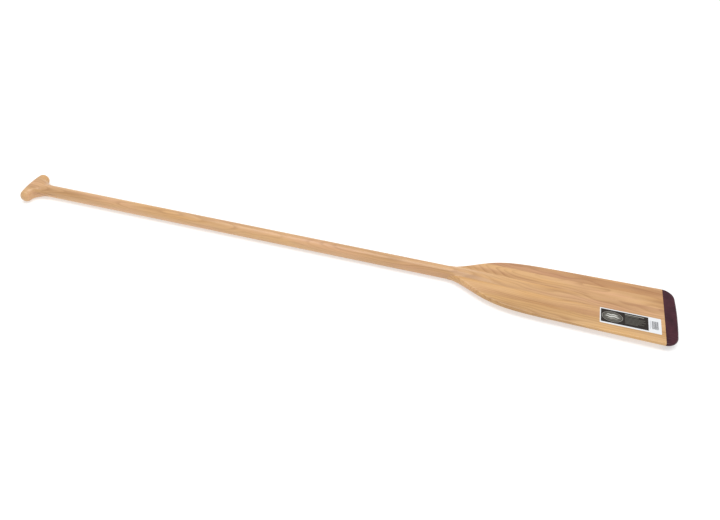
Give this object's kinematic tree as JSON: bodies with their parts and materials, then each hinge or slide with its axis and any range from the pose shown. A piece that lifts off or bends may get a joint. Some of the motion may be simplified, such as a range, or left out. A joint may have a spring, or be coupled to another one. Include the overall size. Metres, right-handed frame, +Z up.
{
  "type": "paddle",
  "caption": "Laminated wooden paddle with a palm grip, a round shaft, a broad square-ended blade and a moulded tip guard.",
  "frame": {"origin": "under the middle of the paddle's length and width, at the height of the shaft's and the grip's underside", "axes": "+X from the grip along the shaft to the blade's tip, +Y to the left of the labelled face, +Z up out of the labelled face"},
  "size_m": [1.524, 0.1526, 0.029],
  "materials": {
    "stave_wood": "light pine-coloured stave, clear varnish, satin gloss",
    "inner_plank_wood": "tan plank with long streaks, clear varnish, satin gloss",
    "outer_plank_wood": "golden to pinkish plank with long streaks, clear varnish, satin gloss",
    "grip_wood": "rounded palm grip block, clear varnish, satin gloss",
    "tip_guard": "dark burgundy moulding, glossy",
    "product_label": "coated printed sticker with a white border, dark panel and pale oval device"
  },
  "bodies": {
    "root": {"centre_stave": "stave_wood", "blade_plank_left_inner": "inner_plank_wood", "blade_plank_left_outer": "outer_plank_wood", "blade_plank_right_inner": "inner_plank_wood", "blade_plank_right_outer": "outer_plank_wood", "grip_cheek_left": "grip_wood", "grip_cheek_right": "grip_wood", "tip_guard": "tip_guard", "product_label": "product_label"}
  },
  "joints": []
}
